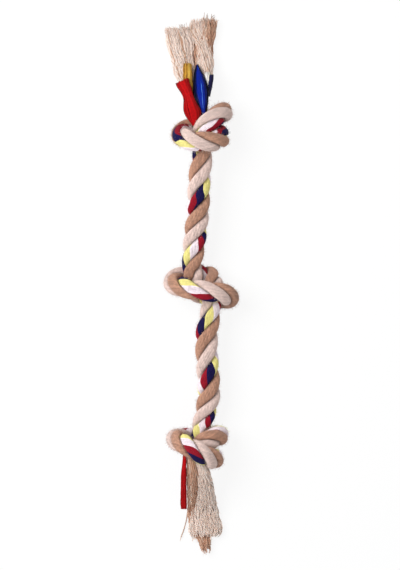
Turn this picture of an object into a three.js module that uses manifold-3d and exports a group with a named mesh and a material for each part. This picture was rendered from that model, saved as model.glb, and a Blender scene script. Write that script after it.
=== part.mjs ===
// A rope dog toy: one three-strand cotton rope, tied in three overhand knots and left with a tassel at
// each end. It lies on the floor at z = 0, along Y. Sizes are in millimetres and angles in degrees.
import * as THREE from 'three';
import { mergeVertices } from 'three/addons/utils/BufferGeometryUtils.js';
import Module from 'manifold-3d';

// The rope: three strands laid to the right
const ROPE_DIAMETER = 22;
const LAY_LENGTH = 46;
const KNOT_LAY_LENGTH = 1.17 * LAY_LENGTH;
const STRAND_CLEARANCE = 0.1;
const STRAND_FLATNESS = 1.3;
const STRAND_SIDES = 8;
const STRAND_STEP = 4.5;

// The knots: how far apart they are tied, and how thick the rope is where it is pulled tight in each
const KNOT_SPACING = 150;
const LOWER_KNOT_SPACING = 0.973 * KNOT_SPACING;
const TOP_KNOT_X = -1;
const MIDDLE_KNOT_X = -1;
const BOTTOM_KNOT_X = -6.2;
const TOP_KNOT_ROPE = 17;
const MIDDLE_KNOT_ROPE = 17.5;
const BOTTOM_KNOT_ROPE = 17;
const KNOT_CLEARANCE = 0.05;
const KNOT_FLAT = ROPE_DIAMETER / 10;

// How far inside its end knot the rope comes apart into a tassel
const END_TRIM = 6;

// The rope's bending places: a short stretch beside each knot, with a cut gap at both of its ends
const FLEX_LENGTH = 15;
const CUT_GAP = 0.4;

// The tassels: bundles of loose yarn that lie down to the floor, with coloured tails on top of them
const TASSEL_THICKNESS = 13;
const TASSEL_FALL = 64;
const TASSEL_STEP = 8;
const NECK_LENGTH = 14;
const BUNDLE_BEVEL = 2.5;
const TAIL_THICKNESS = 3.5;
const TAIL_BEVEL = 1;
const SEAT_GAP = 0.4;

const NATURAL = 0xdcc6b0;
const TAN = 0xb08a68;
const RED = 0xd0121c;
const BLUE = 0x16309a;
const GOLD = 0xc48a2a;
const WHITE = 0xf2eef0;
const MULTICOLOUR = 0xb6404e;
const COTTON_ROUGHNESS = 0.9;
const SATIN_ROUGHNESS = 0.45;

// The first half of an overhand knot, from the end above it to the middle of its ring, in diameters of
// the tight rope. The second half is the first turned half a turn about X.
const KNOT_HALF = [
  [-0.20, 1.15, 0.32],
  [-0.20, 0.70, 0.36],
  [-0.31, 0.27, 0.45],
  [-0.58, -0.08, 0.50],
  [-0.90, -0.37, 0.35],
  [-1.13, -0.59, 0.02],
  [-1.19, -0.73, -0.42],
  [-1.06, -0.78, -0.85],
  [-0.76, -0.77, -1.18],
  [-0.35, -0.68, -1.37],
  [0.08, -0.54, -1.36],
  [0.46, -0.40, -1.16],
  [0.73, -0.26, -0.80],
  [0.93, -0.13, -0.41],
  [1.00, 0, 0],
];
const KNOT_MIDDLE = KNOT_HALF.length - 1;

// Each knot's place, its turn about the rope, its tip towards the bottom tassel and its lean to the left
// in the plan
const KNOTS = [
  { name: 'top_knot', x: TOP_KNOT_X, y: KNOT_SPACING, rope: TOP_KNOT_ROPE, turn: 152, tip: 0, lean: 6 },
  { name: 'middle_knot', x: MIDDLE_KNOT_X, y: 0, rope: MIDDLE_KNOT_ROPE, turn: 247, tip: 0, lean: 10 },
  {
    name: 'bottom_knot',
    x: BOTTOM_KNOT_X,
    y: -LOWER_KNOT_SPACING,
    rope: BOTTOM_KNOT_ROPE,
    turn: 177,
    tip: -14,
    lean: -12,
  },
];

// Free rope between two knots: shares of the way, each with how far the rope wanders to the right there
const SPANS = [
  { name: 'upper_span', wander: [[0.25, -0.5], [0.5, 0.8], [0.75, 0.4]] },
  { name: 'lower_span', wander: [[0.25, -2.2], [0.5, 0.8], [0.75, 4]] },
];

// Strands in their order round the rope
const STRANDS = [
  { name: 'tan', color: TAN },
  { name: 'multicolour', color: MULTICOLOUR },
  { name: 'natural', color: NATURAL },
];

// Places where a given strand lies uppermost: so many lays along the rope past the middle of a knot's
// ring, or along a span from its middle
const UPPERMOST = [
  { knot: 0, past: -0.76, strand: 'natural' },
  { knot: 0, past: 1.74, strand: 'natural' },
  { span: 0, past: -0.83, strand: 'tan' },
  { span: 0, past: 1.14, strand: 'tan' },
  { knot: 1, past: 0.15, strand: 'multicolour' },
  { span: 1, past: -0.57, strand: 'tan' },
  { span: 1, past: 0.43, strand: 'tan' },
  { knot: 2, past: -0.75, strand: 'multicolour' },
];

const UP = new THREE.Vector3(0, 0, 1);
const FULL_TURN = 2 * Math.PI;
const STRAND_ANGLE = FULL_TURN / STRANDS.length;

// The knot's whole path, turned, tipped and leaned but still centred on its own middle
function knotPath(knot) {
  const unit = knot.rope * (1 + KNOT_CLEARANCE);
  const lastHalf = KNOT_HALF.slice(0, KNOT_MIDDLE).reverse().map(([x, y, z]) => [x, -y, -z]);
  const turn = new THREE.Matrix4().makeRotationY(THREE.MathUtils.degToRad(knot.turn));
  const tip = new THREE.Matrix4().makeRotationX(THREE.MathUtils.degToRad(knot.tip));
  const lean = new THREE.Matrix4().makeRotationZ(THREE.MathUtils.degToRad(knot.lean));
  const place = lean.multiply(tip).multiply(turn);
  return [...KNOT_HALF, ...lastHalf].map(([x, y, z]) =>
    new THREE.Vector3(x, y, z).multiplyScalar(unit).applyMatrix4(place));
}

// Route points run from the top tassel to the bottom one, each with the rope's radius there
function ropeRoute() {
  const route = [];
  KNOTS.forEach((knot, index) => {
    const path = knotPath(knot);
    const tight = knot.rope / 2;
    const lowest = Math.min(...path.map((point) => point.z)) - tight;
    knot.height = -lowest - KNOT_FLAT;
    const center = new THREE.Vector3(knot.x, knot.y, knot.height);
    const points = path.map((point) => ({ at: point.add(center), radius: tight }));
    if (index > 0) {
      const start = route[route.length - 1].at;
      const end = points[0].at;
      for (const [share, right] of SPANS[index - 1].wander) {
        const at = start.clone().lerp(end, share);
        at.x += right;
        route.push({ at, radius: ROPE_DIAMETER / 2 });
      }
    }
    knot.first = route.length;
    route.push(...points);
    knot.middle = knot.first + KNOT_MIDDLE;
  });
  return route;
}

// Frames along the rope, carried forward without turning about it
function ropeFrames(route) {
  const curve = new THREE.CatmullRomCurve3(route.map((stop) => stop.at), false, 'catmullrom', 0.5);
  const stops = route.length - 1;
  const frames = [];
  let length = 0;
  const perStop = 16;
  for (let i = 0; i <= stops * perStop; i += 1) {
    const at = curve.getPoint(i / (stops * perStop));
    const tangent = curve.getTangent(i / (stops * perStop));
    const low = Math.min(Math.floor(i / perStop), stops - 1);
    const ease = THREE.MathUtils.smoothstep(i / perStop - low, 0, 1);
    const radius = THREE.MathUtils.lerp(route[low].radius, route[low + 1].radius, ease);
    const before = frames[frames.length - 1];
    const normal = before ? before.normal.clone() : UP.clone();
    normal.addScaledVector(tangent, -normal.dot(tangent)).normalize();
    if (before) length += at.distanceTo(before.at);
    const binormal = tangent.clone().cross(normal);
    frames.push({ at, tangent, normal, binormal, radius, length, stop: i / perStop });
  }
  return frames;
}

const route = ropeRoute();
const frames = ropeFrames(route);
const ropeEnd = frames[frames.length - 1].length;

function frameAt(length) {
  let high = frames.findIndex((frame) => frame.length >= length);
  if (high < 1) high = 1;
  const a = frames[high - 1];
  const b = frames[high];
  const share = (length - a.length) / (b.length - a.length);
  const mix = (key) => a[key].clone().lerp(b[key], share);
  const tangent = mix('tangent').normalize();
  const normal = mix('normal');
  normal.addScaledVector(tangent, -normal.dot(tangent)).normalize();
  return {
    at: mix('at'),
    tangent,
    normal,
    binormal: tangent.clone().cross(normal),
    radius: THREE.MathUtils.lerp(a.radius, b.radius, share),
  };
}

const lengthAtStop = (stop) => frames.find((frame) => frame.stop >= stop).length;
const knotStart = (knot) => lengthAtStop(knot.first);
const knotEnd = (knot) => lengthAtStop(knot.first + 2 * KNOT_MIDDLE);
const spanMiddle = (span) => (knotEnd(KNOTS[span]) + knotStart(KNOTS[span + 1])) / 2;

// The lay: the strands' turn about the rope at each place where one of them lies uppermost
function layStations() {
  const stations = [];
  for (const place of UPPERMOST) {
    const knot = KNOTS[place.knot];
    const start = knot ? lengthAtStop(knot.middle) : spanMiddle(place.span);
    const length = start + place.past * LAY_LENGTH;
    const frame = frameAt(length);
    const facing = Math.atan2(frame.binormal.dot(UP), frame.normal.dot(UP));
    const order = STRANDS.findIndex((strand) => strand.name === place.strand);
    let turn = facing - order * STRAND_ANGLE;
    const before = stations[stations.length - 1];
    if (before) {
      const lay = knot || before.knot ? KNOT_LAY_LENGTH : LAY_LENGTH;
      const wanted = before.turn + ((length - before.length) * FULL_TURN) / lay;
      turn += Math.round((wanted - turn) / FULL_TURN) * FULL_TURN;
    }
    stations.push({ length, turn, knot });
  }
  return stations;
}
const stations = layStations();

// The rate of turn at a station: the mean of the stretches on both sides of it
function layRate(index) {
  const a = stations[Math.max(index - 1, 0)];
  const b = stations[Math.min(index + 1, stations.length - 1)];
  return (b.turn - a.turn) / (b.length - a.length);
}

// The turn at a length along the straight line through a station
function stationLine(index, length) {
  const station = stations[index];
  return station.turn + (length - station.length) * layRate(index);
}

function layAt(length) {
  const last = stations.length - 1;
  const next = stations.findIndex((station) => station.length > length);
  if (next < 0) return stationLine(last, length);
  if (next === 0) return stationLine(0, length);
  const share = THREE.MathUtils.smoothstep(length, stations[next - 1].length, stations[next].length);
  return THREE.MathUtils.lerp(stationLine(next - 1, length), stationLine(next, length), share);
}

// A closed body through rings of points that all have the same count
function ringBody(rings) {
  const sides = rings[0].length;
  const index = [];
  for (let i = 0; i < rings.length - 1; i += 1) {
    for (let j = 0; j < sides; j += 1) {
      const a = i * sides + j;
      const b = i * sides + ((j + 1) % sides);
      index.push(a, b, b + sides, a, b + sides, a + sides);
    }
  }
  const last = (rings.length - 1) * sides;
  for (let j = 1; j < sides - 1; j += 1) {
    index.push(0, j + 1, j);
    index.push(last, last + j, last + j + 1);
  }
  const geometry = new THREE.BufferGeometry();
  const positions = rings.flat().flatMap((point) => point.toArray());
  geometry.setAttribute('position', new THREE.Float32BufferAttribute(positions, 3));
  geometry.setIndex(index);
  return geometry;
}

// Half the depth of a strand, an oval that just clears its neighbours inside a rope of this radius
function strandDepth(radius) {
  const half = STRAND_ANGLE / 2;
  const reach = Math.hypot(Math.sin(half), STRAND_FLATNESS * Math.cos(half));
  return (radius * Math.sin(half) - STRAND_CLEARANCE / 2) / (reach + Math.sin(half));
}

// The ring of points round one strand, square to the rope
function strandRing(order, length) {
  const { at, normal, binormal, radius } = frameAt(length);
  const angle = layAt(length) + order * STRAND_ANGLE;
  const out = normal.clone().multiplyScalar(Math.cos(angle)).addScaledVector(binormal, Math.sin(angle));
  const around = binormal.clone().multiplyScalar(Math.cos(angle)).addScaledVector(normal, -Math.sin(angle));
  const depth = strandDepth(radius);
  const ring = [];
  for (let j = 0; j < STRAND_SIDES; j += 1) {
    const side = (j * FULL_TURN) / STRAND_SIDES;
    const outward = radius - depth + depth * Math.cos(side);
    const sideways = depth * STRAND_FLATNESS * Math.sin(side);
    ring.push(at.clone().addScaledVector(out, outward).addScaledVector(around, sideways));
  }
  return ring;
}

// One strand between two lengths along the rope
function strandBody(order, from, to) {
  const steps = Math.ceil((to - from) / STRAND_STEP);
  const rings = [];
  for (let i = 0; i <= steps; i += 1) {
    rings.push(strandRing(order, from + ((to - from) * i) / steps));
  }
  return ringBody(rings);
}

const wasm = await Module();
wasm.setup();

function toSolid(geometry) {
  const bare = geometry.clone();
  bare.deleteAttribute('normal');
  bare.deleteAttribute('uv');
  const merged = mergeVertices(bare);
  return new wasm.Manifold(new wasm.Mesh({
    numProp: 3,
    vertProperties: new Float32Array(merged.attributes.position.array),
    triVerts: new Uint32Array(merged.index.array),
  }));
}

function toGeometry(solid) {
  const mesh = solid.getMesh();
  const geometry = new THREE.BufferGeometry();
  geometry.setAttribute('position', new THREE.Float32BufferAttribute(mesh.vertProperties, 3));
  geometry.setIndex(new THREE.Uint32BufferAttribute(mesh.triVerts, 1));
  return geometry;
}

// The floor, which presses the underside of each knot flat
const floorDepth = ROPE_DIAMETER;
const floorSize = 2 * ropeEnd;
const floorBlock = new THREE.BoxGeometry(floorSize, floorSize, floorDepth);
const floor = toSolid(floorBlock.translate(0, 0, -floorDepth / 2));

const toy = new THREE.Group();
toy.name = 'rope_dog_toy';

function addNode(name, geometry, color, roughness = COTTON_ROUGHNESS) {
  geometry.computeVertexNormals();
  const material = new THREE.MeshStandardMaterial({ color, roughness, metalness: 0 });
  const mesh = new THREE.Mesh(geometry, material);
  mesh.name = name;
  toy.add(mesh);
}

// The rope's stretches: a knot, then a bending place, free rope and another bending place, and so on
function ropeStretches() {
  const lastKnot = KNOTS[KNOTS.length - 1];
  const stretches = KNOTS.map((knot) => ({
    name: knot.name,
    from: knot === KNOTS[0] ? END_TRIM : knotStart(knot),
    to: knot === lastKnot ? ropeEnd - END_TRIM : knotEnd(knot),
    flat: true,
  }));
  SPANS.forEach(({ name }, index) => {
    const from = knotEnd(KNOTS[index]) + CUT_GAP;
    const to = knotStart(KNOTS[index + 1]) - CUT_GAP;
    const free = { from: from + FLEX_LENGTH + CUT_GAP, to: to - FLEX_LENGTH - CUT_GAP };
    stretches.push({ name: `${name}_upper_bend`, from, to: from + FLEX_LENGTH });
    stretches.push({ name, from: free.from, to: free.to });
    stretches.push({ name: `${name}_lower_bend`, from: to - FLEX_LENGTH, to });
  });
  return stretches;
}

for (const stretch of ropeStretches()) {
  STRANDS.forEach((strand, order) => {
    let geometry = strandBody(order, stretch.from, stretch.to);
    if (stretch.flat) geometry = toGeometry(toSolid(geometry).subtract(floor));
    addNode(`${stretch.name}_${strand.name}`, geometry, strand.color);
  });
}

// A tassel's own measure: its direction along Y, where it starts, and its faces at the start
function tasselRoot(length, direction) {
  const { at, radius } = frameAt(length);
  const ends = STRANDS.flatMap((strand, order) => strandRing(order, length));
  const start = Math.max(...ends.map((point) => point.y * direction)) + CUT_GAP;
  return { direction, start, x: at.x, top: at.z + radius, bottom: at.z - radius };
}

// Heights of a tassel's upper and lower faces, straight between steps so that what lies on it fits
function tasselFaces(root, distance) {
  const low = Math.floor(distance / TASSEL_STEP);
  const heights = [low, low + 1].map((step) => {
    const fallen = THREE.MathUtils.clamp((step * TASSEL_STEP) / TASSEL_FALL, 0, 1);
    const up = (1 + Math.cos(Math.PI * fallen)) / 2;
    return { top: TASSEL_THICKNESS + (root.top - TASSEL_THICKNESS) * up, bottom: root.bottom * up };
  });
  const share = distance / TASSEL_STEP - low;
  return {
    top: THREE.MathUtils.lerp(heights[0].top, heights[1].top, share),
    bottom: THREE.MathUtils.lerp(heights[0].bottom, heights[1].bottom, share),
  };
}

// The left and right edges of an outline at a distance from the root, straight between its rows
function edgesAt(rows, distance) {
  const next = Math.max(1, rows.findIndex((row) => row[0] >= distance));
  const [a, b] = [rows[next - 1], rows[next]];
  const share = (distance - a[0]) / (b[0] - a[0]);
  return [THREE.MathUtils.lerp(a[1], b[1], share), THREE.MathUtils.lerp(a[2], b[2], share)];
}

// A flat band of yarn between two distances from the root, with bevelled corners
function bandBody(root, rows, from, to, faces, bevel) {
  const stops = [from];
  const firstStep = Math.floor(from / TASSEL_STEP) + 1;
  for (let step = firstStep; step * TASSEL_STEP < to; step += 1) {
    stops.push(step * TASSEL_STEP);
  }
  stops.push(to);
  const rings = stops.map((distance) => {
    const [left, right] = edgesAt(rows, distance);
    const { top, bottom } = faces(distance);
    const cut = Math.min(bevel, 0.4 * (right - left), 0.4 * (top - bottom));
    const outline = [
      [left, top - cut], [left, bottom + cut], [left + cut, bottom], [right - cut, bottom],
      [right, bottom + cut], [right, top - cut], [right - cut, top], [left + cut, top],
    ];
    const y = root.direction * (root.start + distance);
    const ring = outline.map(([x, z]) => new THREE.Vector3(root.x + x, y, z));
    return root.direction > 0 ? ring.reverse() : ring;
  });
  return ringBody(rings);
}

// Outlines in plan: rows of distance from the root, left edge and right edge, from the root's middle
const TOP_BUNDLES = {
  left: [[0, -9, -1.3], [16, -17, -4], [36, -26, -7.6], [62, -34.5, -8.6], [78, -38, -15], [86, -39, -26]],
  right: [[0, -0.7, 3.7], [16, -3.4, 3.7], [36, -7, 3.2], [62, -8, 2.7], [78, -14.4, 3.2], [91, -9, 2]],
  tan: [[0, 4.3, 9], [16, 4.3, 9.5], [36, 3.8, 9.5], [62, 3.3, 9], [78, 3.8, 12], [86, 4, 13]],
};
const TOP_TAILS = {
  red: [[-4, -12, -2], [0, -16, -6], [12, -20, -9], [20, -23, -12], [27, -29, -18]],
  blue: [[1, -4, 3.5], [13, -9, 4.8], [26, -11.3, 0.8], [36, -9, -4], [44, -7.2, -5.6]],
  small_blue: [[15, 5.6, 8], [23, 5.2, 8.4], [36, 5.6, 9]],
  white: [[20, 3.6, 4.8], [28, 2, 4.6], [35, 2, 4.2]],
  gold: [[15, -15, -10.4], [28, -20, -11.8], [46, -19, -12.5]],
};
const BOTTOM_BUNDLES = {
  tan: [[0, -8, -0.3], [12, -7.6, 2], [38, -7.4, 4.4], [60, -6.6, 8], [71, -8, 11], [77, -1, 15],
    [89.3, 5, 16.5]],
  natural: [[0, 0.3, 6.5], [10, 2.3, 9], [20, 3.4, 16], [38, 5, 23.5], [60, 8.6, 28], [69, 11.2, 30],
    [76, 15.2, 20]],
};
const BOTTOM_RED_TAIL = [[6, -12.6, -8.4], [14, -13.6, -8.2], [34, -14.2, -8], [49, -14.2, -7.8]];

const topRoot = tasselRoot(END_TRIM, 1);
const bottomRoot = tasselRoot(ropeEnd - END_TRIM, -1);
const lastRow = (rows) => rows[rows.length - 1][0];

// A bundle in two pieces: the neck, where it bends as it leaves the knot, and the rest
function addBundle(name, root, rows, color) {
  const faces = (distance) => tasselFaces(root, distance);
  const neck = bandBody(root, rows, 0, NECK_LENGTH, faces, BUNDLE_BEVEL);
  const rest = bandBody(root, rows, NECK_LENGTH + CUT_GAP, lastRow(rows), faces, BUNDLE_BEVEL);
  addNode(`${name}_neck`, neck, color);
  addNode(`${name}_bundle`, rest, color);
}

// A coloured tail lying on the tassel, or on so many other tails, with a neck where it starts by the knot
function addTail(name, root, rows, color, level = 0) {
  const lift = SEAT_GAP + level * (TAIL_THICKNESS + SEAT_GAP);
  const faces = (distance) => {
    const bottom = tasselFaces(root, distance).top + lift;
    return { top: bottom + TAIL_THICKNESS, bottom };
  };
  const first = rows[0][0];
  const start = Math.max(first, NECK_LENGTH + CUT_GAP);
  if (first < NECK_LENGTH) {
    const neck = bandBody(root, rows, first, NECK_LENGTH, faces, TAIL_BEVEL);
    addNode(`${name}_neck`, neck, color, SATIN_ROUGHNESS);
  }
  const tail = bandBody(root, rows, start, lastRow(rows), faces, TAIL_BEVEL);
  addNode(`${name}_tail`, tail, color, SATIN_ROUGHNESS);
}

addBundle('top_left', topRoot, TOP_BUNDLES.left, NATURAL);
addBundle('top_right', topRoot, TOP_BUNDLES.right, NATURAL);
addBundle('top_tan', topRoot, TOP_BUNDLES.tan, TAN);
addTail('top_gold', topRoot, TOP_TAILS.gold, GOLD);
addTail('top_red', topRoot, TOP_TAILS.red, RED, 1);
addTail('top_blue', topRoot, TOP_TAILS.blue, BLUE);
addTail('top_small_blue', topRoot, TOP_TAILS.small_blue, BLUE);
addTail('top_white', topRoot, TOP_TAILS.white, WHITE);
addBundle('bottom_tan', bottomRoot, BOTTOM_BUNDLES.tan, TAN);
addBundle('bottom_natural', bottomRoot, BOTTOM_BUNDLES.natural, NATURAL);
addTail('bottom_red', bottomRoot, BOTTOM_RED_TAIL, RED, -1);

// The toy's frame: the middle of its box, on the floor
const box = new THREE.Box3().setFromObject(toy);
const middle = box.getCenter(new THREE.Vector3());
toy.position.set(-middle.x, -middle.y, -box.min.z);

export default toy;
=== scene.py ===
import math

import bpy
import numpy as np
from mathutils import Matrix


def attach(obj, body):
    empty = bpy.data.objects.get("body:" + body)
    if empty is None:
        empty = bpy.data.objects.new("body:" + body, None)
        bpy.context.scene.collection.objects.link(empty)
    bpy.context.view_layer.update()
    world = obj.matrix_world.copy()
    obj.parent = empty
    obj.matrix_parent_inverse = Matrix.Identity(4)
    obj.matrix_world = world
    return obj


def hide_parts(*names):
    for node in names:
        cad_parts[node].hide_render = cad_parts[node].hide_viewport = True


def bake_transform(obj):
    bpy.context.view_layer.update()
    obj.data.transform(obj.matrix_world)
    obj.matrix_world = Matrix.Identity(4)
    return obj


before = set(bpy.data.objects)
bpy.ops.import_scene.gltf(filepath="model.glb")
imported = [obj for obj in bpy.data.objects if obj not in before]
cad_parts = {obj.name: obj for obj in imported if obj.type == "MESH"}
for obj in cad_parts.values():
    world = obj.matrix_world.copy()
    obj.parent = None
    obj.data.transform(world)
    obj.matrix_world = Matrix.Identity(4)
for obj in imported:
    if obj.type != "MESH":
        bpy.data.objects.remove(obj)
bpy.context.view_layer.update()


# Floor, lamps and camera
# A plain white floor that the toy lies on, under a broad soft lamp high on the left and an even sky.
# The camera looks straight down through a long lens, so that nothing leans towards the edges.

def linear(hex_colour):
    channels = [int(hex_colour[i:i + 2], 16) / 255 for i in (1, 3, 5)]
    return [c / 12.92 if c <= 0.04045 else ((c + 0.055) / 1.055) ** 2.4 for c in channels] + [1.0]


def add_node(tree, kind, sockets=(), **settings):
    """Adds a node. A node given for a socket is linked by its first output that is in use."""
    node = tree.nodes.new(kind)
    for name, value in settings.items():
        setattr(node, name, value)
    for key, value in dict(sockets).items():
        if isinstance(key, str):
            socket = next(s for s in node.inputs if s.name == key and s.enabled)
        else:
            socket = node.inputs[key]
        if isinstance(value, bpy.types.Node):
            value = next(s for s in value.outputs if s.enabled)
        if isinstance(value, bpy.types.NodeSocket):
            tree.links.new(value, socket)
        else:
            socket.default_value = value
    return node


scene = bpy.context.scene
scene.view_settings.view_transform = "Standard"

# Matt white paint: to the eye an even white that still takes the toy's soft shadow
white_share = 0.88
floor_paint = bpy.data.materials.new("matt_white_floor_paint")
floor_paint.use_nodes = True
paint = floor_paint.node_tree
paint.nodes.clear()
matt = add_node(paint, "ShaderNodeBsdfDiffuse", {"Color": linear("#f4f4f4")})
glow = add_node(paint, "ShaderNodeEmission", {"Color": linear("#ffffff"), "Strength": 1.0})
rays = add_node(paint, "ShaderNodeLightPath").outputs
mirrored = add_node(paint, "ShaderNodeMath", {0: rays["Is Camera Ray"], 1: rays["Is Glossy Ray"]},
                    operation="MAXIMUM")
seen = add_node(paint, "ShaderNodeMath", {0: mirrored, 1: rays["Is Transmission Ray"]}, operation="MAXIMUM")
share = add_node(paint, "ShaderNodeMath", {0: seen, 1: white_share}, operation="MULTIPLY")
both = add_node(paint, "ShaderNodeMixShader", {0: share, 1: matt, 2: glow})
add_node(paint, "ShaderNodeOutputMaterial", {"Surface": both})

floor_mesh = bpy.data.meshes.new("floor")
floor_mesh.from_pydata([(-4, -4, 0), (4, -4, 0), (4, 4, 0), (-4, 4, 0)], [], [(0, 1, 2, 3)])
floor_mesh.materials.append(floor_paint)
floor = bpy.data.objects.new("floor", floor_mesh)
scene.collection.objects.link(floor)

sky = bpy.data.worlds.new("even_sky")
sky.use_nodes = True
sky.node_tree.nodes["Background"].inputs["Color"].default_value = linear("#ffffff")
sky.node_tree.nodes["Background"].inputs["Strength"].default_value = 0.54
scene.world = sky

lamp_data = bpy.data.lights.new("soft_lamp", "AREA")
lamp_data.size = 0.9
lamp_data.energy = 21
lamp = bpy.data.objects.new("soft_lamp", lamp_data)
lamp.location = (-0.75, 0.3, 1.3)
lamp.rotation_euler = (-lamp.location).to_track_quat("-Z", "Y").to_euler()
scene.collection.objects.link(lamp)

view_height = 0.538
half_toy_height = 0.03
camera_data = bpy.data.cameras.new("plan_camera")
camera_data.sensor_width = 36
camera_data.lens = 150
camera = bpy.data.objects.new("plan_camera", camera_data)
camera_far = half_toy_height + view_height * camera_data.lens / camera_data.sensor_width
camera.location = (-0.00038, -0.00081, camera_far)
scene.collection.objects.link(camera)
scene.camera = camera


# Rope
# One length of thick cotton rope, laid to the right from three strands: one tan, one undyed and one of
# dyed yarn in four colours. It is tied in three overhand knots and lies on the floor between them.

rope_radius = 0.011
lay_length = 0.046
pressed_flat = rope_radius / 5
plan_shift = np.array([0.00056, -0.00364, 0.0])

# Half an overhand knot in diameters of the tight rope, from above it to the middle of its ring. The
# other half is this one turned half a turn about X.
knot_half = np.array([
    (-0.20, 1.15, 0.32), (-0.20, 0.70, 0.36), (-0.31, 0.27, 0.45), (-0.58, -0.08, 0.50),
    (-0.90, -0.37, 0.35), (-1.13, -0.59, 0.02), (-1.19, -0.73, -0.42), (-1.06, -0.78, -0.85),
    (-0.76, -0.77, -1.18), (-0.35, -0.68, -1.37), (0.08, -0.54, -1.36), (0.46, -0.40, -1.16),
    (0.73, -0.26, -0.80), (0.93, -0.13, -0.41), (1.00, 0.0, 0.0)])
knot_path = np.concatenate([knot_half, knot_half[-2::-1] * (1, -1, -1)])
knot_slack = 1.05
knots = [
    {"name": "top_knot", "x": -0.001, "y": 0.150, "rope": 0.0170, "turn": 152, "tip": 0, "lean": 6},
    {"name": "middle_knot", "x": -0.001, "y": 0.0, "rope": 0.0175, "turn": 247, "tip": 0, "lean": 10},
    {"name": "bottom_knot", "x": -0.0062, "y": -0.14595, "rope": 0.0170, "turn": 177, "tip": -14,
     "lean": -12}]

# How far the free rope wanders to the right of the straight line between two knots
span_wander = [
    [(0.25, -0.0005), (0.5, 0.0008), (0.75, 0.0004)],
    [(0.25, -0.0022), (0.5, 0.0008), (0.75, 0.0040)]]

route, route_radius = [], []
for k, knot in enumerate(knots):
    turn, tip, lean = (math.radians(knot[way]) for way in ("turn", "tip", "lean"))
    about_y = np.array([[math.cos(turn), 0, math.sin(turn)], [0, 1, 0], [-math.sin(turn), 0, math.cos(turn)]])
    about_x = np.array([[1, 0, 0], [0, math.cos(tip), -math.sin(tip)], [0, math.sin(tip), math.cos(tip)]])
    about_z = np.array([[math.cos(lean), -math.sin(lean), 0], [math.sin(lean), math.cos(lean), 0], [0, 0, 1]])
    tight = knot["rope"] / 2
    path = (knot_path * knot["rope"] * knot_slack) @ (about_z @ about_x @ about_y).T
    path += (knot["x"], knot["y"], tight - path[:, 2].min() - pressed_flat)
    if route:
        before = route[-1]
        for share, right in span_wander[k - 1]:
            route.append(before + (path[0] - before) * share + (right, 0, 0))
            route_radius.append(rope_radius)
    knot["first"] = len(route)
    knot["middle"] = knot["first"] + len(knot_half) - 1
    route.extend(path)
    route_radius.extend([tight] * len(path))
route = np.array(route) + plan_shift
route_radius = np.array(route_radius)

# The rope's line is a cubic curve through those points, with a direction square to it that is carried
# along unturned
per_stop = 16
padded = np.concatenate([[2 * route[0] - route[1]], route, [2 * route[-1] - route[-2]]])
stop = np.arange((len(route) - 1) * per_stop + 1) / per_stop
low = np.minimum(stop.astype(int), len(route) - 2)
share = (stop - low)[:, None]
p0, p1, p2, p3 = (padded[low + k] for k in range(4))
m1, m2 = (p2 - p0) / 2, (p3 - p1) / 2
c2, c3 = 3 * (p2 - p1) - 2 * m1 - m2, 2 * (p1 - p2) + m1 + m2
rope_at = p1 + m1 * share + c2 * share ** 2 + c3 * share ** 3
rope_tangent = m1 + 2 * c2 * share + 3 * c3 * share ** 2
rope_tangent /= np.linalg.norm(rope_tangent, axis=1)[:, None]
ease = share[:, 0] ** 2 * (3 - 2 * share[:, 0])
rope_thick = route_radius[low] + (route_radius[low + 1] - route_radius[low]) * ease
reach = np.concatenate([[0], np.cumsum(np.linalg.norm(np.diff(rope_at, axis=0), axis=1))])
rope_normal = np.zeros_like(rope_at)
carried = np.array([0.0, 0.0, 1.0])
for i, tangent in enumerate(rope_tangent):
    carried = carried - tangent * carried.dot(tangent)
    carried /= np.linalg.norm(carried)
    rope_normal[i] = carried


def rope_frame(lengths):
    at, tangent, normal = (
        np.stack([np.interp(lengths, reach, values[:, k]) for k in range(3)], axis=1)
        for values in (rope_at, rope_tangent, rope_normal))
    tangent /= np.linalg.norm(tangent, axis=1)[:, None]
    normal -= tangent * (normal * tangent).sum(axis=1)[:, None]
    normal /= np.linalg.norm(normal, axis=1)[:, None]
    return at, tangent, normal, np.cross(tangent, normal)


upward_turn = np.unwrap(np.arctan2(np.cross(rope_tangent, rope_normal)[:, 2], rope_normal[:, 2]))


def facing_up(length):
    return np.interp(length, reach, upward_turn)


def smooth_track(stations, lengths):
    place, value = np.array(stations).T
    last = len(place) - 1
    ahead, behind = np.minimum(np.arange(last + 1) + 1, last), np.maximum(np.arange(last + 1) - 1, 0)
    rate = (value[ahead] - value[behind]) / (place[ahead] - place[behind])
    after = np.searchsorted(place, lengths, side="right")
    a, b = np.clip(after - 1, 0, last), np.clip(after, 0, last)
    gap = np.where(a == b, 1.0, place[b] - place[a])
    share = np.clip((lengths - place[a]) / gap, 0, 1)
    share = share ** 2 * (3 - 2 * share)
    from_a = value[a] + (lengths - place[a]) * rate[a]
    from_b = value[b] + (lengths - place[b]) * rate[b]
    return from_a + (from_b - from_a) * share


def knot_ring(k):
    return reach[knots[k]["middle"] * per_stop]


def knot_end(k):
    return reach[(knots[k]["first"] + len(knot_path) - 1) * per_stop]


def knot_start(k):
    return reach[knots[k]["first"] * per_stop]


def span_middle(k):
    return (knot_end(k) + knot_start(k + 1)) / 2


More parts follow.
